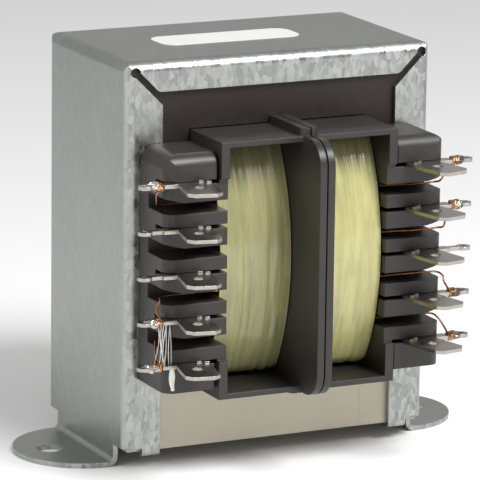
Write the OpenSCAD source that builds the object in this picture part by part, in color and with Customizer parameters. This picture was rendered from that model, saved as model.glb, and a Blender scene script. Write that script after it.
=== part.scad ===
// Laminated chassis transformer: an interleaved E and I core held in a folded channel frame
// with two mounting feet, and two moulded coil formers side by side on the middle leg,
// each with a comb of five solder terminals.
// X runs along the mounting line, -Y is the terminal side, Z is up, and the origin lies
// midway between the two mounting holes on the underside of the feet.

/* [Core] */
// Width of the core's middle leg, which every other core size follows
tongue_w = 25.4; // [22:0.1:30]
// Thickness of the whole stack of laminations
stack_d = 35.5; // [28:0.5:42]
// Distance from one lamination to the next, before the stack is shared out evenly
lam_t = 0.64; // [0.5:0.01:1.2]
// Air left between neighbouring laminations
lam_gap = 0.02; // [0.01:0.01:0.05]
// Height of the core's underside above the mounting surface
core_lift = 3.75; // [3.4:0.05:6]

/* [Mounting frame] */
// Thickness of the frame's sheet
sheet_t = 1.0; // [0.8:0.05:1.2]
// Clearance between the frame and the core
frame_clear = 0.1; // [0.08:0.01:0.2]
// Outside radius of the folds round the core
fold_r = 2.0; // [1.5:0.1:2.2]
// Inside radius of those folds
fold_in_r = 0.25; // [0.1:0.05:0.3]
// Width of the upright lips
side_lip_w = 7.7; // [6:0.1:9]
// Height of the top lips
top_lip_h = 6.0; // [4.5:0.1:8]
// Width of the slot between a top lip and an upright lip
mitre_gap = 1.3; // [0.8:0.1:1.8]
// Radius of the relief hole at each upper corner
relief_r = 1.0; // [0.8:0.05:1.2]
// Radius of the top lips' lower corners
lip_corner_r = 1.5; // [0.8:0.1:2]
// Height of the upright lips' outer halves above the core's underside
lip_rise = 0.8; // [0.4:0.1:2]
// Width of each tab clenched under the core
clench_w = 3.8; // [3:0.1:4.6]
// Reach of each tab under the core
clench_reach = 3.2; // [2:0.1:5]

/* [Mounting feet] */
// Radius of each foot's round end, half the width of the foot
foot_r = 13.7; // [11:0.1:16]
// Distance from the frame's side to the centre of the foot's round end
foot_out = 0.75; // [0:0.05:3]
// Inside radius of the fold between the frame's side and the foot
foot_fold_r = 1.0; // [0.6:0.1:1.2]
// Distance from the frame's side to the mounting hole
hole_out = 7.6; // [6.5:0.1:9]
// Diameter of each mounting hole
hole_d = 5.2; // [4:0.1:6.5]

/* [Coil formers] */
// Clearance between a coil former and the core
former_clear = 0.15; // [0.1:0.05:0.3]
// Wall round the core's middle leg
tube_wall = 1.2; // [1:0.1:1.8]
// Thickness of each outer flange
flange_t = 1.8; // [1.4:0.1:2.4]
// Thickness of each former's half of the centre barrier
barrier_t = 1.45; // [1.2:0.05:2]
// Gap between the two halves of the centre barrier
barrier_gap = 0.3; // [0.2:0.05:0.6]
// Thickness of the shelves over and under the windings
shelf_t = 1.1; // [0.8:0.1:1.6]
// Reach of the outer flanges and shelves from the core's face
shelf_reach = 14.4; // [13:0.1:17]
// Reach of the centre barrier from the core's face
barrier_reach = 21.9; // [18:0.1:26]
// Radius of the centre barrier's outer corners
barrier_corner_r = 5; // [3:0.5:7]
// Height of the rib on the shelves along the barrier
rib_h = 1.5; // [0.8:0.1:2]
// Thickness of the rib's half on each former
rib_t = 1.7; // [1.5:0.1:2.2]
// Reach of the lower rib from the core's face
low_rib_reach = 9; // [6:0.5:12]

/* [Terminal combs] */
// Distance from the core's middle to a comb's outer end
comb_end = 29.9; // [27:0.1:32]
// Clearance between a comb and the frame's lip
comb_clear = 0.15; // [0.1:0.05:0.3]
// Depth of a comb, front to back
comb_d = 12.25; // [11:0.05:13]
// Height of the comb's lower end above the former's lower edge
comb_rise = 2.0; // [0.5:0.1:3]
// Height of the comb's upper end below the former's upper edge
comb_drop = 2.0; // [0.5:0.1:2.4]
// Distance between neighbouring terminals
pitch = 8.85; // [8.4:0.05:9.2]
// Height of a tooth over its terminal
tooth_up = 3.0; // [2.6:0.1:3.2]
// Height of a tooth under its terminal
tooth_down = 3.7; // [3.2:0.1:3.9]
// Depth of the gaps between teeth
comb_gap_d = 8.5; // [7:0.1:9.5]
// Radius of a comb's upright outer corner
comb_corner_r = 2.4; // [1.5:0.1:3]
// Radius of a comb's upper front edge
comb_top_r = 2.5; // [1.5:0.1:3]
// Radius of a comb's upper outer corner, seen from the front
comb_end_r = 3; // [1.5:0.1:3.4]
// Radius of a comb's inner front corner
comb_nose_r = 0.8; // [0.4:0.1:1.2]
// Length of the slope under each tooth's outer end
lead_in_l = 3.8; // [2.5:0.1:4.5]
// Rise of that slope
lead_in_h = 0.85; // [0.4:0.05:1.2]
// Width of the groove between the flange's rim and the end teeth
groove_w = 0.6; // [0.4:0.05:0.9]
// Depth of that groove
groove_d = 2.2; // [1:0.1:3]

/* [Terminals] */
// Thickness of a terminal
term_t = 0.7; // [0.5:0.05:0.9]
// Clearance over a terminal in its slot
term_clear = 0.1; // [0.05:0.05:0.2]
// Width of the flat blade
blade_w = 6.8; // [5.5:0.1:7.2]
// Reach of the blade from the comb's front
blade_reach = 11.2; // [8:0.1:13]
// Outward turn of the blade in degrees
blade_splay = 12; // [0:1:15]
// Distance from the comb's outer end to the middle of the blade's root
blade_inset = 5.5; // [4.8:0.1:6]
// Depth of the terminal's root in its slot
root_d = 5; // [3:0.1:5.5]
// Corner cut at the blade's front
blade_chamfer = 1.3; // [0.5:0.1:2]
// Hole in the blade
blade_hole_d = 2.2; // [1.5:0.1:3]
// Distance from the comb's front to the hole in the blade
blade_hole_reach = 5.2; // [4:0.1:6]
// Width of the strip that runs to the comb's outer end
strip_w = 2.5; // [2:0.1:3]
// Distance the strip stands in front of the comb
strip_proud = 1.2; // [0.6:0.1:1.5]
// Length of the strip beyond the comb's outer end
strip_out = 1.0; // [0.9:0.1:1.6]
// Width of the solder neck
neck_w = 1.4; // [1.1:0.1:1.6]
// Length of the solder neck
neck_l = 2.0; // [1.7:0.1:2.4]
// Length of the leaf-shaped solder eye
eye_l = 2.9; // [2.6:0.1:3.6]
// Width of the solder eye
eye_w = 2.7; // [2:0.1:3]
// Hole in the solder eye
eye_hole_d = 1.1; // [0.8:0.1:1.4]
// Height of the two stops at the blade's root
stop_h = 0.45; // [0.3:0.05:0.6]
// Length of each stop
stop_l = 0.9; // [0.6:0.1:1.2]
// Thickness of each stop
stop_t = 0.5; // [0.3:0.05:0.6]
// Distance from the blade's inner edge to the first stop
stop_in = 0.3; // [0.2:0.1:1]

/* [Windings] */
// Clearance between a winding and the flanges beside it
coil_clear = 0.15; // [0.1:0.05:0.3]
// Height left free between a winding and the shelves
shelf_clear = 0.2; // [0.15:0.05:0.6]
// Reach of the primary winding from the core's face at mid height
primary_reach = 10.6; // [8.5:0.1:12]
// Reach of the secondary winding from the core's face at mid height
secondary_reach = 12.3; // [8.5:0.1:12.6]
// Radius of a winding's crowned face
crown_r = 46; // [40:1:80]
// Radius of a winding's corners
coil_corner_r = 4.5; // [3:0.1:6]
// Thickness of the outer tape
tape_t = 0.5; // [0.3:0.05:1]

/* [Leads] */
// Diameter of the winding wire that leads to the terminals
wire_d = 0.4; // [0.3:0.05:0.5]
// Clearance between a lead and the terminal that it is wound on
wire_clear = 0.05; // [0.04:0.01:0.08]
// Gap between neighbouring turns of the wire round a solder neck
wrap_gap = 0.06; // [0.03:0.01:0.1]
// Distance from a neck's corner in to the middle of the wire's bend round it
wrap_in = 0.15; // [0.1:0.05:0.2]
// Distance that a lead comes forward in the comb
lead_forward = 0.6; // [0:0.1:1]

/* [Label] */
// Length of the plain label on the frame's top
label_l = 30; // [20:1:40]
// Width of the label
label_w = 9.5; // [7:0.5:14]
// Thickness of the label
label_t = 0.12; // [0.08:0.02:0.3]
// Radius of the label's corners
label_r = 3; // [1:0.5:3]
// Distance from the frame's middle to the label's middle, to the left
label_left = 3.1; // [0:0.1:10]

/* [Hidden] */
$fn = 96;
COUNT = 5;
SIDES = [-1, 1];
// terminals that carry a lead, with the side of the terminal's tooth that the lead passes:
// 1 over it and -1 under it
PRIMARY_LEADS = [[1, -1], [4, 1], [5, 1]];
SECONDARY_LEADS = [[1, -1], [2, -1], [4, 1], [5, 1]];
// points on each piece of a lead's free stretch and past each of a neck's corners, and
// sides of the wire
LEAD_STEPS = 5;
CORNER_STEPS = 3;
WIRE_SIDES = 8;

// core, from the middle leg's width
leg_w = tongue_w / 2;
core_w = 2.5 * tongue_w;
core_h = 3 * tongue_w;
core_top = core_lift + core_h;
mid_z = core_lift + core_h / 2;
window_x = core_w / 2 - leg_w;
window_h = tongue_w / 2;
lam_count = round(stack_d / lam_t);
lam_pitch = stack_d / lam_count;
core_y = stack_d / 2;

// frame, round the core
frame_x = core_w / 2 + frame_clear + sheet_t;
frame_y = core_y + frame_clear + sheet_t;
frame_top = core_top + frame_clear + sheet_t;
lip_x = frame_x - side_lip_w;
lip_z = frame_top - top_lip_h;
relief_in = fold_r;
clench_z = core_lift - sheet_t;
clench_r = sheet_t + frame_clear;
lip_low = core_lift + lip_rise;
slot_leg = mitre_gap / sqrt(2);
lip_tip = frame_x - top_lip_h - slot_leg;

// coil formers, in and in front of the core's window
former_x = window_x - former_clear;
flange_x = former_x - flange_t;
barrier_x = barrier_gap / 2;
coil_x0 = barrier_x + barrier_t;
former_z = window_h + tongue_w / 2 - former_clear;
face_y = core_y + former_clear;
shelf_y = core_y + shelf_reach;
barrier_y = core_y + barrier_reach;
tube_y = core_y + former_clear + tube_wall;
tube_z = tongue_w / 2 + former_clear + tube_wall;

// combs, beside the outer flanges and in front of the frame's lips
comb_back = frame_y + comb_clear;
comb_front = comb_back + comb_d;
comb_low = -former_z + comb_rise;
comb_high = former_z - comb_drop;
slot_h = term_t + term_clear;

// terminals
strip_y = -comb_front - strip_proud + strip_w / 2;
neck_x = comb_end + strip_out;
eye_x = neck_x + neck_l + eye_l / 2;
blade_x = comb_end - blade_inset;

// bend of a lead round a neck's corner: it stays clear of the corner
wrap_r = wire_d / 2 + wire_clear + sqrt(2) * wrap_in;

// windings
coil_z = former_z - shelf_t - shelf_clear;
coil_x1 = flange_x - coil_clear;
corner_z = coil_z - coil_corner_r;

// middle of the crown's circle in Y, for a winding with this reach
function crown_y(reach) = core_y + reach - crown_r;

// height of terminal i's middle over the core's middle, counted from the top
function term_z(i) = (COUNT + 1 - 2 * i) / 2 * pitch;

// ---- shapes that repeat ----

// rectangle about the origin with four round corners
module round_rect(w, h, r) {
    square([w - 2 * r, h], center = true);
    square([w, h - 2 * r], center = true);
    for (sx = SIDES, sy = SIDES)
        translate([sx * (w / 2 - r), sy * (h / 2 - r)]) circle(r);
}

// closed box with round upright and upper edges, from z0 up to z1
module folded_box(w, d, z0, z1, r) {
    tall = 2 * (z1 - z0);
    intersection() {
        translate([0, 0, z0]) linear_extrude(z1 - z0) round_rect(w, d, r);
        translate([0, d, z0]) rotate([90, 0, 0]) linear_extrude(2 * d) round_rect(w, tall, r);
        translate([-w, 0, z0]) rotate([90, 0, 90]) linear_extrude(2 * w) round_rect(d, tall, r);
    }
}

// puts its children at the height of the core's middle
module at_core() {
    translate([0, 0, mid_z]) children();
}

// turns a flat outline in X and Z into a plate between y0 and y1
module upright(y0, y1) {
    translate([0, y1, 0]) rotate([90, 0, 0]) linear_extrude(y1 - y0) children();
}

// turns a flat outline in Y and Z into a plate between x0 and x1
module sideways(x0, x1) {
    translate([x0, 0, 0]) rotate([90, 0, 90]) linear_extrude(x1 - x0) children();
}

// box between two corners
module span(a, b) {
    translate(a) cube(b - a);
}

// mirrors its children to the primary side, for side -1
module on_side(side) {
    mirror([side < 0 ? 1 : 0, 0, 0]) children();
}

// ---- mounting frame ----

// opening between the lips in X and Z, with the mitred slots and their relief holes
module lip_opening() {
    x = frame_x - relief_in;
    z = frame_top - relief_in;
    h = slot_leg / 2;
    translate([-lip_x, 0]) square([2 * lip_x, lip_z]);
    for (s = SIDES) {
        translate([s * x, z]) circle(relief_r);
        polygon([[s * (x + h), z - h], [s * (x - h), z + h], [s * lip_tip, lip_z],
            [s * lip_x, lip_z], [s * lip_x, frame_top - side_lip_w - slot_leg]]);
        lip_corner(s);
    }
}

// what rounds off a top lip's lower corner, where its mitred end meets its edge
module lip_corner(s) {
    tangent = lip_corner_r * tan(22.5);
    leg = tangent / sqrt(2);
    x = lip_tip - tangent;
    z = lip_z + lip_corner_r;
    difference() {
        polygon([[s * lip_tip, lip_z], [s * (lip_tip + leg), lip_z + leg], [s * x, z], [s * x, lip_z]]);
        translate([s * x, z]) circle(lip_corner_r);
    }
}

// one foot, with its fold, on the +X side
module foot() {
    fold_z = sheet_t + foot_fold_r;
    out_r = foot_fold_r + sheet_t;
    difference() {
        union() {
            span([frame_x - sheet_t, -foot_r, fold_z], [frame_x, foot_r, lip_low]);
            translate([frame_x + foot_fold_r, foot_r, fold_z]) rotate([90, 0, 0])
                linear_extrude(2 * foot_r) intersection() {
                    difference() {
                        circle(out_r);
                        circle(foot_fold_r);
                    }
                    translate([-out_r, -out_r]) square(out_r);
                }
            intersection() {
                translate([frame_x + foot_out, 0, 0]) cylinder(h = sheet_t, r = foot_r);
                translate([frame_x + foot_fold_r, -foot_r, 0])
                    cube([foot_r + foot_out, 2 * foot_r, sheet_t]);
            }
        }
        translate([frame_x + hole_out, 0, -1]) cylinder(h = sheet_t + 2, d = hole_d);
    }
}

// one tab folded under the core, at the lower end of the +X, -Y lip
module clench_tab() {
    in_r = clench_r - sheet_t;
    y_out = -frame_y;
    z_out = clench_z;
    span([lip_x, y_out, z_out + clench_r], [lip_x + clench_w, y_out + sheet_t, lip_low]);
    span([lip_x, y_out + clench_r, z_out], [lip_x + clench_w, -core_y + clench_reach, core_lift]);
    sideways(lip_x, lip_x + clench_w) translate([y_out + clench_r, z_out + clench_r]) intersection() {
        difference() {
            circle(clench_r);
            circle(in_r);
        }
        translate([-clench_r, -clench_r]) square(clench_r);
    }
}

module mounting_frame() {
    in_top = frame_top - sheet_t;
    color("darkgray") {
        difference() {
            folded_box(2 * frame_x, 2 * frame_y, lip_low, frame_top, fold_r);
            folded_box(2 * (frame_x - sheet_t), 2 * (frame_y - sheet_t), lip_low - 1, in_top, fold_in_r);
            upright(-frame_y - 1, -core_y) lip_opening();
            upright(core_y, frame_y + 1) lip_opening();
        }
        for (s = SIDES) on_side(s) {
            foot();
            for (f = [0, 1]) mirror([0, f, 0]) clench_tab();
        }
    }
}

// ---- laminations ----

// outline of an E lamination in X and Z, its back on the -X side
module e_outline() {
    difference() {
        translate([-core_w / 2, core_lift]) square([core_w - leg_w, core_h]);
        for (z = [core_lift + leg_w, core_lift + leg_w + window_h + tongue_w])
            translate([-window_x, z]) square([core_w, window_h]);
    }
}

// outline of an I lamination, across the open ends of the E
module i_outline() {
    translate([window_x + lam_gap, core_lift]) square([leg_w - lam_gap, core_h]);
}

// lays its child outline once in each layer, turned over in every other layer
module interleave() {
    for (k = [0 : lam_count - 1])
        on_side(k % 2 == 0 ? 1 : -1)
            upright(-core_y + k * lam_pitch, -core_y + (k + 1) * lam_pitch - lam_gap) children();
}

module e_laminations() {
    color("dimgray") interleave() e_outline();
}

module i_laminations() {
    color("gray") interleave() i_outline();
}

// ---- coil formers ----

// what a round corner leaves off a square one at the origin, towards +X and -Y
module corner_cut(r) {
    translate([-r, 0]) difference() {
        translate([0, -1]) square([r + 1, r + 1]);
        translate([0, r]) circle(r);
    }
}

// comb in plan, from the flange's inner face to the outer end
module comb_plan() {
    difference() {
        translate([flange_x, -comb_front]) square([comb_end - flange_x, comb_d]);
        translate([comb_end, -comb_front]) corner_cut(comb_corner_r);
        translate([flange_x, -comb_front]) mirror([1, 0]) corner_cut(comb_nose_r);
    }
}

// comb from the side, in Y and Z about the core's middle
module comb_side() {
    difference() {
        translate([-comb_front, comb_low]) square([comb_d, comb_high - comb_low]);
        translate([-comb_front, comb_high]) rotate(180) corner_cut(comb_top_r);
    }
}

// comb from the front, in X and Z about the core's middle
module comb_face() {
    difference() {
        translate([flange_x, comb_low]) square([comb_end - flange_x, comb_high - comb_low]);
        translate([comb_end, comb_high]) rotate(90) corner_cut(comb_end_r);
    }
}

// gap between the teeth of terminals i and i + 1, from the front
module comb_gap(i) {
    top = term_z(i) - tooth_down;
    low = term_z(i + 1) + tooth_up;
    y0 = -comb_front - shelf_y;
    y1 = -comb_front + comb_gap_d;
    upright(y0, y1)
        polygon([[flange_x - 1, low], [comb_end + 1, low],
            [comb_end + 1, top + lead_in_h * (1 + 1 / lead_in_l)],
            [comb_end - lead_in_l, top], [flange_x - 1, top]]);
}

// slot that holds the root of terminal i
module comb_slot(i) {
    z = term_z(i) - term_t / 2;
    inner = i == 1 || i == COUNT ? former_x : flange_x - 1;
    span([inner, -comb_front - shelf_y, z], [comb_end + 1, -comb_front + root_d + term_clear, z + slot_h]);
}

// groove between the flange's rim and an end tooth, between two heights
module comb_groove(z0, z1) {
    span([former_x, -comb_front - 1, z0], [former_x + groove_w, -comb_front + groove_d, z1]);
}

module comb() {
    first = term_z(1);
    last = term_z(COUNT);
    difference() {
        intersection() {
            translate([0, 0, comb_low]) linear_extrude(comb_high - comb_low) comb_plan();
            sideways(flange_x - 1, comb_end + 1) comb_side();
            upright(-comb_front - 1, -comb_back + 1) comb_face();
        }
        for (i = [1 : COUNT - 1]) comb_gap(i);
        for (i = [1 : COUNT]) comb_slot(i);
        comb_groove(first, comb_high + 1);
        comb_groove(comb_low - 1, last);
    }
}

// centre barrier's outline in Y and Z
module barrier_outline() {
    round_rect(2 * barrier_y, 2 * former_z, barrier_corner_r);
}

// shelves and rib on one face of the core, towards -Y
module shelves() {
    for (s = SIDES) {
        z = s > 0 ? former_z - shelf_t : -former_z;
        span([barrier_x, -shelf_y, z], [former_x, -face_y, z + shelf_t]);
    }
    rib(former_z, shelf_y - rib_t);
    rib(-former_z - rib_h, core_y + low_rib_reach);
}

// rib along the barrier with a round front end, from height z up
module rib(z, reach) {
    translate([barrier_x, -reach, z]) {
        cube([rib_t, reach - face_y, rib_h]);
        intersection() {
            cylinder(h = rib_h, r = rib_t);
            translate([0, -rib_t, 0]) cube([rib_t, rib_t, rib_h]);
        }
    }
}

// space for the flange's rim to pass the teeth, and the wire gaps in the flange
module flange_cuts() {
    first = term_z(1);
    last = term_z(COUNT);
    span([flange_x - 1, -shelf_y - 1, last], [former_x + 1, -comb_front, first + slot_h - term_t / 2]);
    for (i = [1 : COUNT - 1]) comb_gap(i);
    for (i = [2 : COUNT - 1]) comb_slot(i);
}

// one former, on the +X side
module former() {
    at_core() difference() {
        union() {
            sideways(flange_x, former_x) square([2 * shelf_y, 2 * former_z], center = true);
            sideways(barrier_x, coil_x0) barrier_outline();
            sideways(barrier_x, former_x) square([2 * tube_y, 2 * tube_z], center = true);
            for (f = [0, 1]) mirror([0, f, 0]) shelves();
            comb();
        }
        sideways(-1, former_x + 1)
            square([2 * (core_y + former_clear), tongue_w + 2 * former_clear], center = true);
        flange_cuts();
    }
}

module primary_former() {
    color([0.16, 0.15, 0.15]) on_side(-1) former();
}

module secondary_former() {
    color([0.16, 0.15, 0.15]) former();
}

// ---- windings ----

// crowned outline of a winding in Y and Z, drawn in by inset
module coil_outline(reach, inset) {
    big = crown_r - inset;
    meet_z = big * corner_z / (crown_r - coil_corner_r);
    mid_y = crown_y(reach);
    corner_y = mid_y + sqrt(pow(crown_r - coil_corner_r, 2) - pow(corner_z, 2));
    square([2 * corner_y, 2 * (coil_z - inset)], center = true);
    intersection() {
        translate([mid_y, 0]) circle(big, $fn = 360);
        translate([-mid_y, 0]) circle(big, $fn = 360);
        square([2 * big, 2 * meet_z], center = true);
    }
    for (sy = SIDES, sz = SIDES)
        translate([sy * corner_y, sz * corner_z]) circle(coil_corner_r - inset);
}

module winding(reach) {
    at_core() sideways(coil_x0 + coil_clear, coil_x1) difference() {
        coil_outline(reach, tape_t);
        square([2 * tube_y, 2 * tube_z], center = true);
    }
}

module tape(reach) {
    at_core() sideways(coil_x0 + coil_clear, coil_x1) difference() {
        coil_outline(reach, 0);
        coil_outline(reach, tape_t);
    }
}

module primary_winding() {
    color("peru") on_side(-1) winding(primary_reach);
}

module secondary_winding() {
    color("peru") winding(secondary_reach);
}

module primary_tape() {
    color([0.62, 0.6, 0.38]) on_side(-1) tape(primary_reach);
}

module secondary_tape() {
    color([0.70, 0.68, 0.44]) tape(secondary_reach);
}

// ---- terminals ----

// outline of a terminal in plan, on the +X side
module terminal_outline() {
    half = blade_w / 2;
    c = blade_chamfer;
    root_y = -comb_front - half * sin(blade_splay);
    eye_r = (eye_l * eye_l + eye_w * eye_w) / (4 * eye_w);
    // blade
    translate([blade_x, -comb_front]) rotate(blade_splay) difference() {
        polygon([[-half, 0], [half, 0], [half, c - blade_reach], [half - c, -blade_reach],
            [c - half, -blade_reach], [-half, c - blade_reach]]);
        translate([0, -blade_hole_reach]) circle(d = blade_hole_d);
    }
    // root, which lies in the slot behind the blade
    translate([blade_x - half * cos(blade_splay), root_y])
        square([blade_w - strip_proud, root_d + half * sin(blade_splay)]);
    // strip out to the comb's end, and the solder neck
    translate([blade_x, strip_y - strip_w / 2]) square([neck_x - blade_x, strip_w]);
    translate([blade_x, strip_y - neck_w / 2]) square([eye_x - eye_l / 4 - blade_x, neck_w]);
    // leaf-shaped eye
    translate([eye_x, strip_y]) difference() {
        intersection_for (s = SIDES) translate([0, s * (eye_r - eye_w / 2)]) circle(eye_r);
        circle(d = eye_hole_d);
    }
}

// terminal i on the +X side, with the two stops that bear on the comb's front
module terminal(i) {
    low = mid_z + term_z(i) - term_t / 2;
    translate([0, 0, low]) {
        linear_extrude(term_t) terminal_outline();
        translate([blade_x, -comb_front, term_t]) rotate(blade_splay)
            for (k = [0, 1])
                translate([stop_in - blade_w / 2 + k * (stop_l + stop_t), -2 * stop_l + k * stop_t, 0])
                    cube([stop_l, stop_t, stop_h]);
    }
}

// ---- leads ----

function unit(v) = v / norm(v);

// how far a winding's face stands from the core's middle at height z over it
function face_at(reach, z) = crown_y(reach) + sqrt(crown_r * crown_r - z * z);

// point at share t of the smooth curve from b to c, which comes from a and goes on to d
function curve_point(a, b, c, d, t) =
    b + t / 2 * (c - a) + t * t * (a - 2.5 * b + 2 * c - d / 2)
        + t * t * t * (1.5 * (b - c) + (d - a) / 2);

// smooth curve through the points p, from the second to the last but one
function smooth(p) = [for (k = [1 : len(p) - 3], j = [0 : LEAD_STEPS - 1])
    curve_point(p[k - 1], p[k], p[k + 1], p[k + 2], j / LEAD_STEPS)];

// direction of the line through the points p at each of them
function directions(p) = [for (k = [0 : len(p) - 1])
    unit(p[min(k + 1, len(p) - 1)] - p[max(k - 1, 0)])];

// sideways direction carried along the directions t without twist, up to point k
function carried(t, k) = k == 0 ? [[0, 0, 1]] :
    let (before = carried(t, k - 1), v = before[k - 1])
    concat(before, [unit(v - (v * t[k]) * t[k])]);

// round wire along the points p
module wire(p) {
    n = WIRE_SIDES;
    last = len(p) - 1;
    t = directions(p);
    u = carried(t, last);
    points = [for (k = [0 : last], j = [0 : n - 1])
        p[k] + wire_d / 2 * (cos(360 * j / n) * u[k] + sin(360 * j / n) * cross(t[k], u[k]))];
    skin = [for (k = [0 : last - 1], j = [0 : n - 1]) let (a = k * n, b = (j + 1) % n)
        each [[a + j, a + n + j, a + n + b], [a + j, a + n + b, a + b]]];
    polyhedron(points, concat([[for (j = [0 : n - 1]) j]], skin,
        [[for (j = [n - 1 : -1 : 0]) last * n + j]]));
}

// step k of the path that bends round a neck, in Y and Z about the neck's middle: it starts
// above the corner towards -Y and passes under the neck to the corner towards +Y
function wrap_point(k) =
    let (corner = floor(k / CORNER_STEPS) % 4,
        angle = 90 * (corner + 1) + 90 * (k % CORNER_STEPS) / (CORNER_STEPS - 1),
        sy = corner < 2 ? -1 : 1, sz = corner == 0 || corner == 3 ? 1 : -1)
    [sy * (neck_w / 2 - wrap_in) + wrap_r * cos(angle), sz * (term_t / 2 - wrap_in) + wrap_r * sin(angle)];

// lead of terminal i, from the side of a winding with this reach through the comb, over
// (up = 1) or under (up = -1) the terminal's own tooth, and round its solder neck
module lead(reach, i, up) {
    zt = mid_z + term_z(i);
    over = up > 0 ? tooth_up : tooth_down;
    gap_h = pitch - tooth_up - tooth_down;
    zg = zt + up * (over + gap_h / 2);
    y0 = -face_at(reach, zg - mid_z) + tape_t + wire_d;
    y1 = y0 - lead_forward;
    edge = wire_d / 2 + wire_clear;
    x0 = neck_x + edge;
    run = neck_l - 2 * edge;
    turns = floor(run / (wire_d + wrap_gap));
    steps = 4 * CORNER_STEPS * turns;
    wrap = [for (k = [0 : steps]) let (q = wrap_point(k))
        [x0 + run * k / steps, strip_y + q[0], zt + up * q[1]]];
    free = [[coil_x1 - 4 * wire_d, y0, zg], [coil_x1, y0, zg], [former_x, y0, zg],
        [(former_x + comb_end) / 2, y1, zg + up * wire_d / 4], [comb_end - 2 * wire_d, y1, zg],
        [comb_end + edge + wire_clear, y1 - 3 * wire_d, zg - up * 1.5 * wire_d],
        [x0, strip_y + strip_w / 2 + wire_d, zt + up * (term_t / 2 + 4 * wire_d)], wrap[0], wrap[1]];
    wire(concat(smooth(free), wrap));
}

// ---- label ----

module label() {
    color("white") translate([-label_left, 0, frame_top])
        linear_extrude(label_t) round_rect(label_l, label_w, label_r);
}

mounting_frame();
e_laminations();
i_laminations();
primary_former();
secondary_former();
primary_winding();
secondary_winding();
primary_tape();
secondary_tape();
for (i = [1 : COUNT]) {
    color("silver") on_side(-1) terminal(i);
    color("silver") terminal(i);
}
for (l = PRIMARY_LEADS)
    color("chocolate") on_side(-1) lead(primary_reach, l[0], l[1]);
for (l = SECONDARY_LEADS)
    color("chocolate") lead(secondary_reach, l[0], l[1]);
label();
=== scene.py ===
import math
import random

import bpy
from mathutils import Matrix, Vector, noise


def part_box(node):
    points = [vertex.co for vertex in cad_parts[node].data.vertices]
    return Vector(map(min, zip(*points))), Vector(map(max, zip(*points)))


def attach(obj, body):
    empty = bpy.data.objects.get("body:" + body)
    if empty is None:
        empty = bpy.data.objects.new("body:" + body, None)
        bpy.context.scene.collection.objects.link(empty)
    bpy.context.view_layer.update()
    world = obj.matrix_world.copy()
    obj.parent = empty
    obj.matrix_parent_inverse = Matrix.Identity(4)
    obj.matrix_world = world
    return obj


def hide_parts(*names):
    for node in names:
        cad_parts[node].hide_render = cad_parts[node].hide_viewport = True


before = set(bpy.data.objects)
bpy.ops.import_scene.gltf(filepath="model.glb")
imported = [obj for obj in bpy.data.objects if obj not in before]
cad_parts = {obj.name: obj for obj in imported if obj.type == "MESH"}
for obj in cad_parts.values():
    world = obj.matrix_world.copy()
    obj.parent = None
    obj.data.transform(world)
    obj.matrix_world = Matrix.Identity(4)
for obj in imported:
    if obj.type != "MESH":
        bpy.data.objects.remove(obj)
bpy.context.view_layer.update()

bl_info = {
    "name": "Laminated Chassis Transformer",
    "version": (1, 0, 0),
    "blender": (4, 5, 0),
    "location": "View3D > Sidebar > Transformer",
    "description": "Finishes, coils, solder and studio for a laminated chassis transformer",
    "category": "Object",
}

MM = 0.001
BODY = "root"
SIDES = {"primary": -1, "secondary": 1}


# ---- values that a user would change ----

def colour(name, default, text):
    return bpy.props.FloatVectorProperty(name=name, description=text, default=default,
                                         size=4, subtype="COLOR", min=0, max=1)


def length(name, default, text):
    return bpy.props.FloatProperty(name=name, description=text, default=default,
                                   subtype="DISTANCE", unit="LENGTH", min=0, precision=5)


def share(name, default, text):
    return bpy.props.FloatProperty(name=name, description=text, default=default,
                                   subtype="FACTOR", min=0, max=1)


class FrameFinish(bpy.types.PropertyGroup):
    zinc: colour("Zinc", (0.40, 0.41, 0.395, 1), "Colour of the zinc plating")
    roughness: share("Roughness", 0.36, "Roughness of the plating")
    flake: length("Flake size", 0.9 * MM, "Width of a zinc flake")
    edge: length("Edge", 0.16 * MM, "Softness of the sheet's cut edges")


class CoreFinish(bpy.types.PropertyGroup):
    bare: colour("Bare steel", (0.47, 0.44, 0.35, 1), "Colour of the bare laminations")
    # The varnish colour is painted shade: the upper core lies in shadow, so above the line it is
    # painted dark, fading in over the run-out.
    varnish: colour("Varnish", (0.022, 0.014, 0.010, 1), "Colour of the baked varnish")
    line: length("Varnish line", 14 * MM, "Height of the bare steel under the varnish")
    shade_run_out: length("Run-out", 8 * MM, "Height over which the varnish thins out")


class FormerFinish(bpy.types.PropertyGroup):
    black: colour("Nylon", (0.017, 0.0155, 0.0145, 1), "Colour of the moulded nylon")
    edge: length("Edge", 0.35 * MM, "Softness of the moulding's edges")


class TapeFinish(bpy.types.PropertyGroup):
    bright: colour("Tape", (0.48, 0.46, 0.19, 1), "Colour of the secondary tape")
    # The primary coil's tape takes a darker copy of the same tape colour than the secondary's.
    darker_tone: colour("Older tape", (0.33, 0.32, 0.14, 1), "Colour of the primary tape")
    fold: length("Fold depth", 0.42 * MM, "Height of the folds along the tape")
    wire: length("Wire pitch", 0.55 * MM, "Distance between the turns that show through")
    # Painted shade: over this height the tape is darkened under the upper shelf of the former,
    # where shade falls.
    shade: length("Shelf shade", 9 * MM, "Height of the dark stain under the upper shelf")


class TerminalFinish(bpy.types.PropertyGroup):
    tin: colour("Tin", (0.50, 0.47, 0.43, 1), "Colour of the tinned brass")
    solder: colour("Solder", (0.60, 0.58, 0.54, 1), "Colour of the solder")
    wire: length("Wire pitch", 0.42 * MM, "Distance between the turns of bare copper wire")
    enamel: colour("Copper wire", (0.62, 0.25, 0.07, 1), "Colour of the enamelled wire")
    flux: colour("Flux", (0.06, 0.035, 0.02, 1), "Colour of burnt enamel and flux")


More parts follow.
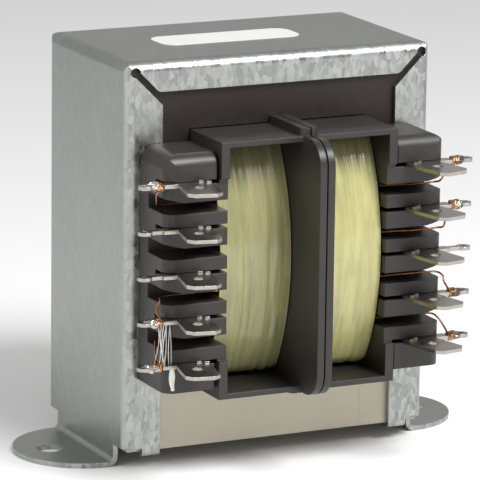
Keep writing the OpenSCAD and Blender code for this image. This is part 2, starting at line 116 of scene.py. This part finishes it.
class StudioSetup(bpy.types.PropertyGroup):
    floor: colour("Floor", (0.86, 0.86, 0.86, 1), "Colour of the floor")
    air: colour("Air", (0.50, 0.50, 0.50, 1), "Light that comes from all round")
    key: bpy.props.FloatProperty(name="Key light", description="Power of the key light",
                                 default=5.2, unit="POWER", min=0)
    fill: bpy.props.FloatProperty(name="Fill light", description="Power of the fill light",
                                  default=1.7, unit="POWER", min=0)


# ---- material kit ----

class Value:
    """A socket that arithmetic can be written on."""

    def __init__(self, kit, socket):
        self.kit = kit
        self.socket = socket

    def _maths(self, operation, *inputs):
        return self.kit.node("ShaderNodeMath", {"operation": operation}, dict(enumerate(inputs)))

    def __add__(self, other):
        return self._maths("ADD", self, other)

    __radd__ = __add__

    def __sub__(self, other):
        return self._maths("SUBTRACT", self, other)

    def __rsub__(self, other):
        return self._maths("SUBTRACT", other, self)

    def __mul__(self, other):
        return self._maths("MULTIPLY", self, other)

    __rmul__ = __mul__

    def abs(self):
        return self._maths("ABSOLUTE", self)

    def sin(self):
        return self._maths("SINE", self)

    def step(self, low, high):
        """0 below low, 1 above high, and smooth between them."""
        return self.kit.node("ShaderNodeMapRange",
                             {"interpolation_type": "SMOOTHSTEP", "clamp": True},
                             {"Value": self, "From Min": low, "From Max": high})


class Nodes:
    """Adds nodes to one shader tree."""

    def __init__(self, tree):
        self.tree = tree

    def node(self, kind, settings=None, inputs=None, out=0):
        made = self.tree.nodes.new(kind)
        for key, value in (settings or {}).items():
            setattr(made, key, value)
        for key, value in (inputs or {}).items():
            self.link(value, made.inputs[key])
        return Value(self, made.outputs[out])

    def link(self, value, socket):
        if isinstance(value, Value):
            self.tree.links.new(value.socket, socket)
        else:
            socket.default_value = value

    def mix(self, factor, a, b, blend="MIX"):
        return self.node("ShaderNodeMix", {"data_type": "RGBA", "blend_type": blend},
                         {0: factor, 6: a, 7: b}, out=2)


class Kit(Nodes):
    """Builds one material's nodes around a Principled shader."""

    def __init__(self, name, **constants):
        self.material = bpy.data.materials.new(name)
        self.material.use_nodes = True
        super().__init__(self.material.node_tree)
        self.shader = self.tree.nodes["Principled BSDF"]
        self._place = None
        self.set(**constants)

    def set(self, **inputs):
        for key, value in inputs.items():
            self.link(value, self.shader.inputs[key.replace("_", " ").title()
                                                .replace("Ior", "IOR")])

    @property
    def place(self):
        """The point's place on the object, in metres."""
        if self._place is None:
            self._place = self.node("ShaderNodeTexCoord", out="Object")
        return self._place

    def axes(self):
        split = self.node("ShaderNodeSeparateXYZ", {}, {"Vector": self.place}).socket.node
        return [Value(self, split.outputs[k]) for k in range(3)]

    def scaled(self, x, y, z):
        return self.node("ShaderNodeMapping", {}, {"Vector": self.place, "Scale": (x, y, z)})

    def noise(self, size, detail=2, rough=0.5):
        """Soft noise from 0 to 1 with features of this size in metres."""
        return self.node("ShaderNodeTexNoise", {}, {
            "Vector": self.place, "Scale": 1 / size, "Detail": detail, "Roughness": rough})

    def streaks(self, x, y, z, detail=2, rough=0.5):
        """Soft noise from 0 to 1 with this many features in a metre along each axis."""
        return self.node("ShaderNodeTexNoise", {}, {
            "Vector": self.scaled(x, y, z), "Scale": 1, "Detail": detail, "Roughness": rough})

    def shade(self, tone, amount):
        """The colour tone made lighter or darker by a number round 1."""
        grey = self.node("ShaderNodeCombineColor", {}, {0: amount, 1: amount, 2: amount})
        return self.mix(1.0, tone, grey, "MULTIPLY")

    def normal(self, height=None, depth=0.0, edge=0.0):
        """Fine relief, and edges softened by the radius edge."""
        soft = None
        if edge:
            soft = self.node("ShaderNodeBevel", {"samples": 4}, {"Radius": edge})
        if height is not None:
            inputs = {"Height": height, "Strength": 1.0, "Distance": depth}
            if soft is not None:
                inputs["Normal"] = soft
            soft = self.node("ShaderNodeBump", {}, inputs)
        self.link(soft, self.shader.inputs["Normal"])


# ---- finishes ----

def zinc_plate():
    look = bpy.context.scene.frame_finish
    kit = Kit("zinc_plate", metallic=1.0)
    flakes = kit.node("ShaderNodeTexVoronoi", {"feature": "F1"}, {
        "Vector": kit.scaled(1, 1, 0.55), "Scale": 1 / look.flake, "Randomness": 1.0}, out="Color")
    grain = kit.node("ShaderNodeSeparateColor", {}, {"Color": flakes})
    fine = kit.noise(0.45 * MM, detail=3, rough=0.6)
    cloud = kit.noise(14 * MM, detail=3, rough=0.5)
    normal = kit.node("ShaderNodeSeparateXYZ", {}, {
        "Vector": kit.node("ShaderNodeTexCoord", out="Normal")}).socket.node
    facing = Value(kit, normal.outputs[1]).abs().step(0.6, 0.9)
    sparkle = (grain - 0.5) * (0.12 + facing * 0.42)
    tone = 0.94 + sparkle + (fine - 0.5) * (0.10 + facing * 0.16) + (cloud - 0.5) * 0.16
    kit.set(base_color=kit.shade(look.zinc[:], tone),
            roughness=look.roughness + (grain - 0.5) * (facing * 0.16 + 0.04)
            + (cloud - 0.5) * 0.10)
    kit.normal(height=grain * 0.5 + fine * 0.5, depth=0.012 * MM, edge=look.edge)
    return kit.material


def lamination_steel():
    look = bpy.context.scene.core_finish
    kit = Kit("lamination_steel", metallic=0.85)
    height = kit.axes()[2]
    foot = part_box("e_laminations")[0].z
    # painted shade: the core turns dark above the line, where the upper core lies in shadow; the
    # steel below stays bare
    shaded_above = height.step(foot + look.line, foot + look.line + look.shade_run_out)
    rolled = kit.streaks(60, 60, 2400, detail=3, rough=0.6)
    spots = kit.noise(2.2 * MM, detail=4, rough=0.65)
    wide = kit.noise(18 * MM, detail=2)
    bare = kit.shade(look.bare[:], 0.93 + (rolled - 0.5) * 0.10 + (spots - 0.5) * 0.14
                     + (wide - 0.5) * 0.12)
    dark = kit.shade(look.varnish[:], 0.8 + (spots - 0.5) * 0.9 + (wide - 0.5) * 0.6)
    kit.set(base_color=kit.mix(shaded_above, bare, dark),
            metallic=0.85 - shaded_above * 0.7,
            roughness=0.46 + (spots - 0.5) * 0.16 + shaded_above * 0.02)
    kit.normal(height=rolled * 0.4 + spots * 0.6, depth=0.010 * MM, edge=0.05 * MM)
    return kit.material


def moulded_nylon():
    look = bpy.context.scene.former_finish
    kit = Kit("moulded_nylon", specular_ior_level=0.5)
    fine = kit.noise(0.35 * MM, detail=3, rough=0.6)
    cloud = kit.noise(9 * MM, detail=3, rough=0.5)
    dust = kit.noise(0.8 * MM, detail=4, rough=0.7).step(0.62, 0.75)
    scuffed = kit.noise(5 * MM, detail=3, rough=0.6).step(0.5, 0.7)
    warm = kit.mix(cloud, look.black[:], (0.030, 0.024, 0.022, 1))
    kit.set(base_color=kit.mix(dust * scuffed * 0.35, warm, (0.16, 0.15, 0.135, 1)),
            roughness=0.40 + (cloud - 0.5) * 0.22 + dust * 0.12)
    kit.normal(height=fine, depth=0.012 * MM, edge=look.edge)
    return kit.material


def magnet_wire():
    look = bpy.context.scene.terminal_finish
    kit = Kit("magnet_wire", metallic=1.0, coat_weight=0.6, coat_roughness=0.15)
    patch = kit.noise(1.6 * MM, detail=3, rough=0.6)
    fine = kit.noise(0.25 * MM, detail=2)
    kit.set(base_color=kit.mix(patch.step(0.45, 0.75), look.enamel[:], (0.30, 0.10, 0.03, 1)),
            roughness=0.26 + (fine - 0.5) * 0.12)
    kit.normal(height=fine, depth=0.004 * MM)
    return kit.material


def coil_copper():
    look = bpy.context.scene.terminal_finish
    kit = Kit("coil_copper", metallic=1.0, coat_weight=0.5, coat_roughness=0.2)
    across = kit.axes()[0]
    turns = (across * (2 * math.pi / look.wire)).sin()
    patch = kit.noise(5 * MM, detail=2)
    kit.set(base_color=kit.mix(patch, look.enamel[:], (0.42, 0.15, 0.045, 1)),
            roughness=0.30 + (patch - 0.5) * 0.1)
    kit.normal(height=turns * 0.5 + 0.5, depth=0.05 * MM)
    return kit.material


def tinned_brass():
    look = bpy.context.scene.terminal_finish
    kit = Kit("tinned_brass", metallic=1.0)
    stain = kit.noise(3.2 * MM, detail=4, rough=0.6)
    drawn = kit.streaks(300, 2600, 300)
    fine = kit.noise(0.5 * MM, detail=3, rough=0.6)
    tone = 0.86 + (stain - 0.5) * 0.5 + (drawn - 0.5) * 0.12
    kit.set(base_color=kit.mix(stain.step(0.55, 0.8), kit.shade(look.tin[:], tone),
                               (0.30, 0.25, 0.20, 1)),
            roughness=0.30 + (stain - 0.5) * 0.2 + (fine - 0.5) * 0.08)
    kit.normal(height=fine * 0.6 + drawn * 0.4, depth=0.006 * MM, edge=0.12 * MM)
    return kit.material


def soldered(name, share_burnt):
    look = bpy.context.scene.terminal_finish
    kit = Kit(name, metallic=1.0, coat_weight=0.4, coat_roughness=0.1)
    patch = kit.noise(0.9 * MM, detail=4, rough=0.65)
    fine = kit.noise(0.25 * MM, detail=3)
    burnt = patch.step(0.62 - share_burnt * 0.3, 0.70 - share_burnt * 0.3)
    kit.set(base_color=kit.mix(burnt, kit.shade(look.solder[:], 0.9 + (fine - 0.5) * 0.3),
                               look.flux[:]),
            metallic=1.0 - burnt * 0.75,
            roughness=0.20 + burnt * 0.15 + (fine - 0.5) * 0.1)
    kit.normal(height=patch * 0.6 + fine * 0.4, depth=0.05 * MM)
    return kit.material


def dried_varnish():
    """Whitish varnish that ran and set."""
    kit = Kit("dried_varnish", coat_weight=0.8, coat_roughness=0.08, specular_ior_level=0.6)
    patch = kit.noise(0.7 * MM, detail=4, rough=0.6)
    streak = kit.streaks(2600, 2600, 500, detail=3)
    kit.set(base_color=kit.mix(patch.step(0.35, 0.7), (0.60, 0.58, 0.53, 1),
                               (0.78, 0.77, 0.73, 1)),
            roughness=0.30 + (streak - 0.5) * 0.25)
    kit.normal(height=streak * 0.6 + patch * 0.4, depth=0.05 * MM)
    return kit.material


def coil_tape(name, tone):
    look = bpy.context.scene.tape_finish
    kit = Kit(name, coat_weight=0.65, coat_roughness=0.12, specular_ior_level=0.55)
    across, _, height = kit.axes()
    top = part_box("secondary_tape")[1].z
    strands = kit.streaks(700, 90, 90, detail=3, rough=0.55)
    wide = kit.streaks(240, 45, 45)
    blotch = kit.noise(6 * MM, detail=3, rough=0.55)
    wire = (across * (2 * math.pi / look.wire)).sin()
    # painted shade: the tape darkens towards the top, under the upper shelf of the former, where
    # shade falls
    shelf = height.step(top - look.shade, top)
    light = (0.88 + (strands - 0.5) * 0.55 + (wide - 0.5) * 0.5 + (blotch - 0.5) * 0.22
             + wire * 0.02)
    yellow = kit.shade(tone, light)
    copper = kit.mix(wide.step(0.52, 0.72) * 0.45, yellow, (0.30, 0.22, 0.12, 1))
    kit.set(base_color=kit.mix(shelf * 0.75, copper, (0.07, 0.06, 0.03, 1)),
            roughness=0.27 + (strands - 0.5) * 0.2 + (blotch - 0.5) * 0.1)
    kit.normal(height=strands * 0.7 + wire * 0.06 + wide * 0.3, depth=0.12 * MM)
    return kit.material


def plain_label():
    kit = Kit("plain_label", roughness=0.5, specular_ior_level=0.4)
    fibre = kit.noise(0.3 * MM, detail=4, rough=0.7)
    cloud = kit.noise(8 * MM, detail=3)
    kit.set(base_color=kit.shade((0.66, 0.66, 0.655, 1), 0.98 + (fibre - 0.5) * 0.08
                                 + (cloud - 0.5) * 0.10),
            roughness=0.48 + (fibre - 0.5) * 0.15)
    kit.normal(height=fibre, depth=0.006 * MM, edge=0.05 * MM)
    return kit.material


def floor_paper():
    """A pale, matt floor."""
    setup = bpy.context.scene.studio_setup
    kit = Kit("floor_paper", roughness=0.9, specular_ior_level=0.1)
    grain = kit.noise(40 * MM, detail=2)
    kit.set(base_color=kit.shade(setup.floor[:], 0.99 + (grain - 0.5) * 0.02))
    return kit.material


# ---- modelling kit ----

def clear_selection():
    if bpy.context.object and bpy.context.object.mode != "OBJECT":
        bpy.ops.object.mode_set(mode="OBJECT")
    bpy.ops.object.select_all(action="DESELECT")


def pick(piece):
    clear_selection()
    piece.select_set(True)
    bpy.context.view_layer.objects.active = piece


def finish_piece(piece, name, material, replaced=(), angle=40):
    """Names a piece, puts its place in its mesh, and gives it its finish and its body."""
    pick(piece)
    if piece.type != "MESH":
        bpy.ops.object.convert(target="MESH")
        piece = bpy.context.object
    bpy.ops.object.transform_apply(location=True, rotation=True, scale=True)
    bpy.ops.object.mode_set(mode="EDIT")
    bpy.ops.mesh.select_all(action="SELECT")
    bpy.ops.mesh.remove_doubles(threshold=1e-6)
    bpy.ops.mesh.normals_make_consistent(inside=False)
    bpy.ops.object.mode_set(mode="OBJECT")
    bpy.ops.object.shade_smooth_by_angle(angle=math.radians(angle))
    piece.name = name
    piece.data.name = name
    piece.data.materials.clear()
    piece.data.materials.append(material)
    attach(piece, BODY)
    if replaced:
        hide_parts(*replaced)
    clear_selection()
    return piece


def apply_modifier(piece, kind, **settings):
    pick(piece)
    modifier = piece.modifiers.new(kind.title(), kind)
    for key, value in settings.items():
        setattr(modifier, key, value)
    bpy.ops.object.modifier_apply(modifier=modifier.name)


def tube(points, radius, sides, radii=None):
    """A round tube along points, as a bevelled curve made a mesh."""
    clear_selection()
    bpy.ops.curve.primitive_nurbs_path_add()
    path = bpy.context.object
    data = path.data
    data.splines.clear()
    spline = data.splines.new("POLY")
    spline.points.add(len(points) - 1)
    for k, p in enumerate(points):
        spline.points[k].co = (*p, 1)
        spline.points[k].radius = radii[k] if radii else 1
    data.dimensions = "3D"
    data.bevel_depth = radius
    data.bevel_resolution = max(0, sides // 2 - 2)
    data.use_fill_caps = True
    bpy.ops.object.convert(target="MESH")
    return bpy.context.object


def smooth_path(points, steps):
    """Points on the smooth curve through all of points."""
    p = [points[0] * 2 - points[1]] + list(points) + [points[-1] * 2 - points[-2]]
    out = []
    for k in range(1, len(p) - 2):
        a, b, c, d = p[k - 1:k + 3]
        for j in range(steps):
            t = j / steps
            out.append(b + (c - a) * (t / 2) + (a * 2 - b * 5 + c * 4 - d) * (t * t / 2)
                       + ((b - c) * 3 + d - a) * (t ** 3 / 2))
    out.append(p[-2])
    return out


def join(pieces):
    clear_selection()
    for piece in pieces:
        piece.select_set(True)
    bpy.context.view_layer.objects.active = pieces[0]
    if len(pieces) > 1:
        bpy.ops.object.join()
    return bpy.context.object


def dress(material, *nodes):
    """Gives CAD nodes their finish."""
    for name in nodes:
        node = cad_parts[name]
        node.data.materials.clear()
        node.data.materials.append(material)


# ---- operators, one for each piece or group of like pieces ----

class TRANSFORMER_OT_frame(bpy.types.Operator):
    """Gives the folded frame its zinc plating"""

    bl_idname = "transformer.frame_finish"
    bl_label = "Plate the Frame"

    def execute(self, context):
        dress(zinc_plate(), "mounting_frame")
        return {"FINISHED"}


class TRANSFORMER_OT_core(bpy.types.Operator):
    """Gives the laminations bare steel below and painted shade above, a dark tone over the upper
    core where it lies in shadow
    """

    bl_idname = "transformer.core_finish"
    bl_label = "Finish the Core"

    def execute(self, context):
        dress(lamination_steel(), "e_laminations", "i_laminations")
        return {"FINISHED"}


class TRANSFORMER_OT_formers(bpy.types.Operator):
    """Gives the coil formers black moulded nylon"""

    bl_idname = "transformer.former_finish"
    bl_label = "Finish the Formers"

    def execute(self, context):
        dress(moulded_nylon(), "primary_former", "secondary_former")
        return {"FINISHED"}


class TRANSFORMER_OT_terminals(bpy.types.Operator):
    """Gives the terminals tin and the leads enamelled copper"""

    bl_idname = "transformer.terminal_finish"
    bl_label = "Finish the Terminals and Leads"

    def execute(self, context):
        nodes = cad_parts
        dress(tinned_brass(), *[n for n in nodes if "_terminal_" in n])
        dress(magnet_wire(), *[n for n in nodes if "_lead_" in n])
        dress(coil_copper(), "primary_winding", "secondary_winding")
        return {"FINISHED"}


class TRANSFORMER_OT_label(bpy.types.Operator):
    """Gives the label plain white film"""

    bl_idname = "transformer.label_finish"
    bl_label = "Finish the Label"

    def execute(self, context):
        dress(plain_label(), "label")
        return {"FINISHED"}


# radii of the tape's crown and corners, its thickness and its clearance at the flanges
TAPE_CROWN_R = 46 * MM
TAPE_CORNER_R = 4.5 * MM
TAPE_T = 0.45 * MM
TAPE_INSET = 0.03 * MM
# faces across the tape, its creases, the lift at which they level off, and the share of the
# width over which an edge dips
TAPE_STEPS = 64
CREASES = 15
MOST_LIFT = 1.35
EDGE_SHARE = 0.05


class TRANSFORMER_OT_tapes(bpy.types.Operator):
    """Winds the creased outer tape round each coil"""

    bl_idname = "transformer.tapes"
    bl_label = "Wind the Tapes"

    def execute(self, context):
        look = context.scene.tape_finish
        for side, tone, seed in (("primary", look.darker_tone, 3), ("secondary", look.bright, 11)):
            node = f"{side}_tape"
            piece = wind_tape(node, look.fold, seed)
            finish_piece(piece, f"{side}_tape_wrap", coil_tape(f"{side}_tape_film", tone[:]),
                         [node], angle=60)
        return {"FINISHED"}


def tape_outline(half_y, half_z):
    """The tape's outline in Y and Z, from the back's middle up and round."""
    crown_steps, corner_steps, top_steps = 60, 14, 20
    corner_z = half_z - TAPE_CORNER_R
    crown_y = half_y - TAPE_CROWN_R
    corner_y = crown_y + math.sqrt((TAPE_CROWN_R - TAPE_CORNER_R) ** 2 - corner_z ** 2)
    turn = math.atan2(corner_z, corner_y - crown_y)
    quarter = [(crown_y + TAPE_CROWN_R * math.cos(turn * k / crown_steps),
                TAPE_CROWN_R * math.sin(turn * k / crown_steps)) for k in range(crown_steps)]
    bend = [turn + (math.pi / 2 - turn) * k / corner_steps for k in range(corner_steps + 1)]
    quarter += [(corner_y + TAPE_CORNER_R * math.cos(a), corner_z + TAPE_CORNER_R * math.sin(a))
                for a in bend]
    quarter += [(corner_y * (1 - k / top_steps), half_z) for k in range(1, top_steps)]
    outline = quarter + [(0, half_z)] + [(-y, z) for y, z in reversed(quarter)]
    outline += [(y, -z) for y, z in reversed(outline[1:-1])]
    return [Vector(point) for point in outline]


def crease_lift(creases, u, angle):
    """How far the creases lift the tape at u across its width and angle round the coil."""
    lift = 0.0
    for place, wide, tall, phase in creases:
        sway = noise.noise(Vector((math.cos(angle) * 1.6 + phase, math.sin(angle) * 1.6, phase)))
        strength = 0.55 + 0.45 * noise.noise(Vector((
            math.cos(angle) * 2.4, math.sin(angle) * 2.4 + phase, 3.1)))
        gap = (u - place - 0.06 * sway) / wide
        lift += tall * strength * math.exp(-gap * gap)
    return min(lift, MOST_LIFT) / MOST_LIFT


def wind_tape(node, fold, seed):
    """A ring of tape with folds that run round the coil."""
    low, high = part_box(node)
    middle = (low + high) / 2
    outline = tape_outline((high.y - low.y) / 2, (high.z - low.z) / 2)
    count = len(outline)
    width = high.x - low.x - 2 * TAPE_INSET

    clear_selection()
    bpy.ops.mesh.primitive_grid_add(x_subdivisions=TAPE_STEPS, y_subdivisions=count, size=2)
    piece = bpy.context.object
    draw = random.Random(seed)
    creases = [(draw.uniform(0.04, 0.96), draw.uniform(0.02, 0.06), draw.uniform(0.35, 1.0),
                draw.uniform(0, 50)) for _ in range(CREASES)]

    tangents = [(outline[(k + 1) % count] - outline[k - 1]).normalized() for k in range(count)]
    for vertex in piece.data.vertices:
        u = (vertex.co.x + 1) / 2
        k = round((vertex.co.y + 1) / 2 * count) % count
        point, tangent = outline[k], tangents[k]
        edge = min(1, min(u, 1 - u) / EDGE_SHARE)
        lift = crease_lift(creases, u, k / count * 2 * math.pi)
        drop = fold * (1 - 0.75 * lift) * edge + fold * 0.9 * (1 - edge)
        vertex.co = (low.x + TAPE_INSET + width * u, middle.y + point.x - tangent.y * drop,
                     middle.z + point.y + tangent.x * drop)
    finish_ring(piece)
    apply_modifier(piece, "SOLIDIFY", thickness=TAPE_T, offset=-1, use_rim=True,
                   use_even_offset=False)
    return piece


def finish_ring(piece):
    """Closes the ring and turns its faces outwards."""
    pick(piece)
    bpy.ops.object.mode_set(mode="EDIT")
    bpy.ops.mesh.select_all(action="SELECT")
    bpy.ops.mesh.remove_doubles(threshold=1e-6)
    bpy.ops.object.mode_set(mode="OBJECT")
    foremost = min(piece.data.polygons, key=lambda face: face.center.y)
    if foremost.normal.y > 0:
        bpy.ops.object.mode_set(mode="EDIT")
        bpy.ops.mesh.select_all(action="SELECT")
        bpy.ops.mesh.flip_normals()
        bpy.ops.object.mode_set(mode="OBJECT")


# thickness of a terminal's sheet, and where the middle of its solder neck lies
SHEET_T = 0.7 * MM
NECK_Y = -31.2 * MM
# a lump of solder: length, depth, height, and its middle's distance from the eye's tip
BLOB_L = 4.2 * MM
BLOB_D = 2.24 * MM
BLOB_H = 1.72 * MM
BLOB_IN = 3.1 * MM


class TRANSFORMER_OT_solder(bpy.types.Operator):
    """Lays solder and burnt enamel over the wound necks"""

    bl_idname = "transformer.solder"
    bl_label = "Solder the Leads"

    def execute(self, context):
        bright = soldered("solder_bright", 0.2)
        burnt = soldered("solder_burnt", 0.75)
        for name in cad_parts:
            if "_lead_" not in name:
                continue
            side, _, number = name.split("_")
            low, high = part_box(f"{side}_terminal_{number}")
            seed = int(number) * 7 + (40 if side == "secondary" else 0)
            piece = solder_blob(side, low, high, seed)
            finish_piece(piece, f"{side}_solder_{number}",
                         burnt if side == "secondary" else bright, angle=70)
        return {"FINISHED"}


def solder_blob(side, low, high, seed):
    """A lump of solder that covers the turns of wire and half of the eye."""
    s = SIDES[side]
    tip = high.x if s > 0 else low.x
    centre = Vector((tip - s * BLOB_IN, NECK_Y, low.z + SHEET_T / 2))
    clear_selection()
    bpy.ops.mesh.primitive_ico_sphere_add(subdivisions=4, radius=1)
    piece = bpy.context.object
    for vertex in piece.data.vertices:
        p = vertex.co.copy()
        lump = 1 + 0.34 * noise.noise(p * 1.7 + Vector((seed, 0, 0)))
        lump += 0.16 * noise.noise(p * 4.2 + Vector((0, seed, 0)))
        lump *= 1 - 0.25 * s * p.x
        vertex.co = centre + Vector((p.x * BLOB_L, p.y * BLOB_D * lump, p.z * BLOB_H * lump)) / 2
    return piece


# the drip: distance in from the eye's tip, place in depth, overlap with the terminal, radius
DRIP_IN = 6.9 * MM
DRIP_Y = -32.1 * MM
DRIP_SUNK = 0.1 * MM
DRIP_R = 0.75 * MM
# the threads of varnish: how many, and their place in depth
STRANDS = 9
STRAND_Y = -31.3 * MM


class TRANSFORMER_OT_varnish(bpy.types.Operator):
    """Leaves dried varnish between the lower primary terminals"""

    bl_idname = "transformer.varnish"
    bl_label = "Dry the Varnish"

    def execute(self, context):
        material = dried_varnish()
        finish_piece(varnish_drip(), "varnish_drip", material, angle=70)
        finish_piece(varnish_strands(), "varnish_strands", material, angle=70)
        return {"FINISHED"}


def varnish_drip():
    """A drip that hangs from the lowest primary terminal, thickest above its middle."""
    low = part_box("primary_terminal_5")[0]
    top = Vector((low.x + DRIP_IN, DRIP_Y, low.z + DRIP_SUNK))
    way = [Vector((0, 0, 0)), Vector((0.15, 0.25, -1.4)), Vector((0.35, 0.75, -3.0)),
           Vector((0.65, 0.95, -4.6))]
    path = smooth_path([top + step * MM for step in way], 6)
    last = len(path) - 1
    radii = [0.5 + 0.35 * math.sin(math.pi * min(1, 1.15 * k / last)) for k in range(last + 1)]
    return tube(path, DRIP_R, 12, radii)


def varnish_strands():
    """Threads of varnish between the two lowest primary terminals."""
    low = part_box("primary_terminal_5")[0]
    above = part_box("primary_terminal_4")[0]
    draw = random.Random(5)
    strands = []
    for _ in range(STRANDS):
        x0 = above.x + draw.uniform(4.2, 7.0) * MM
        x1 = x0 + draw.uniform(-0.8, 0.8) * MM
        y0 = STRAND_Y + draw.uniform(-0.4, 0.4) * MM
        a = Vector((x0, y0, above.z))
        b = Vector((x1, y0 + draw.uniform(-0.5, 0.9) * MM, low.z + SHEET_T))
        bow = Vector((draw.uniform(-0.6, 0.6), draw.uniform(-0.6, 0.3), draw.uniform(-1, 1)))
        line = smooth_path([a, (a + b) / 2 + bow * MM, b], 8)
        strands.append(tube(line, draw.uniform(0.05, 0.11) * MM, 6))
    return join(strands)


# floor and lamps, in metres
FLOOR_SIZE = 8
LAMP_TARGET = (0, 0, 0.04)
# the camera: turn to the right, tilt down and roll in degrees, the point that it looks at and
# its distance from there
CAMERA_TURN = (25.848, 13.0715, 0.767)
CAMERA_TARGET = (0.73 * MM, 0, 39.6 * MM)
CAMERA_DISTANCE = 848.2 * MM


class TRANSFORMER_OT_studio(bpy.types.Operator):
    """Sets up the floor, the soft lights and the camera"""

    bl_idname = "transformer.studio"
    bl_label = "Set up the Studio"

    def execute(self, context):
        scene = context.scene
        setup = scene.studio_setup
        clear_selection()
        bpy.ops.mesh.primitive_plane_add(size=FLOOR_SIZE, location=(0, 0, 0))
        floor = context.object
        floor.name = "floor"
        floor.data.materials.append(floor_paper())

        scene.view_settings.view_transform = "Standard"
        scene.world = studio_air(setup.air[:])
        lamp("key_light", (0.16, -0.42, 0.52), 0.30, setup.key)
        lamp("left_fill", (-0.62, -0.10, 0.30), 0.50, setup.fill)
        scene.camera = camera_from_left()
        return {"FINISHED"}


def studio_air(tone):
    """A world that looks white and lights the object with its own tone."""
    world = bpy.data.worlds.new("studio_air")
    world.use_nodes = True
    air = Nodes(world.node_tree)
    seen = (air.node("ShaderNodeLightPath", out="Is Camera Ray")
            + air.node("ShaderNodeLightPath", out="Is Transmission Ray"))
    air.link(air.mix(seen, tone, (1, 1, 1, 1)), air.tree.nodes["Background"].inputs["Color"])
    return world


def lamp(name, place, size, power):
    """A round soft light, turned to the middle of the object."""
    clear_selection()
    bpy.ops.object.light_add(type="AREA", location=place)
    light = bpy.context.object
    light.name = name
    light.data.shape = "DISK"
    light.data.size = size
    light.data.energy = power
    way = Vector(LAMP_TARGET) - Vector(place)
    light.rotation_euler = way.to_track_quat("-Z", "Y").to_euler()


def camera_from_left():
    """A long lens that looks from the left and a little above, from well back."""
    bpy.ops.object.camera_add()
    camera = bpy.context.object
    camera.name = "camera"
    yaw, pitch, roll = (math.radians(angle) for angle in CAMERA_TURN)
    ahead = Vector((math.sin(yaw) * math.cos(pitch), math.cos(yaw) * math.cos(pitch),
                    -math.sin(pitch)))
    level = Vector((math.cos(yaw), -math.sin(yaw), 0))
    right = level * math.cos(roll) + level.cross(ahead) * math.sin(roll)
    up = right.cross(ahead)
    place = Vector(CAMERA_TARGET) - ahead * CAMERA_DISTANCE
    camera.matrix_world = Matrix((
        (right.x, up.x, -ahead.x, place.x),
        (right.y, up.y, -ahead.y, place.y),
        (right.z, up.z, -ahead.z, place.z),
        (0, 0, 0, 1)))
    camera.data.lens = 318.4
    camera.data.sensor_width = 36
    camera.data.clip_start = 0.01
    camera.data.clip_end = 20
    return camera


class TRANSFORMER_PT_panel(bpy.types.Panel):
    """Lists the pieces"""

    bl_label = "Laminated Transformer"
    bl_idname = "TRANSFORMER_PT_panel"
    bl_space_type = "VIEW_3D"
    bl_region_type = "UI"
    bl_category = "Transformer"

    def draw(self, context):
        for operator in OPERATORS:
            self.layout.operator(operator.bl_idname)
        for name in GROUPS:
            group = getattr(context.scene, name)
            for key in group.bl_rna.properties.keys():
                if key not in ("rna_type", "name"):
                    self.layout.prop(group, key)


OPERATORS = (TRANSFORMER_OT_frame, TRANSFORMER_OT_core, TRANSFORMER_OT_formers,
             TRANSFORMER_OT_terminals, TRANSFORMER_OT_label, TRANSFORMER_OT_tapes,
             TRANSFORMER_OT_solder, TRANSFORMER_OT_varnish, TRANSFORMER_OT_studio)
GROUPS = {"frame_finish": FrameFinish, "core_finish": CoreFinish,
          "former_finish": FormerFinish, "tape_finish": TapeFinish,
          "terminal_finish": TerminalFinish, "studio_setup": StudioSetup}
CLASSES = (*GROUPS.values(), *OPERATORS, TRANSFORMER_PT_panel)


def register():
    for cls in CLASSES:
        bpy.utils.register_class(cls)
    for name, group in GROUPS.items():
        setattr(bpy.types.Scene, name, bpy.props.PointerProperty(type=group))


def unregister():
    for name in GROUPS:
        delattr(bpy.types.Scene, name)
    for cls in reversed(CLASSES):
        bpy.utils.unregister_class(cls)


def main():
    register()
    for operator in OPERATORS:
        group, name = operator.bl_idname.split(".")
        getattr(getattr(bpy.ops, group), name)()


if __name__ == "__main__":
    main()
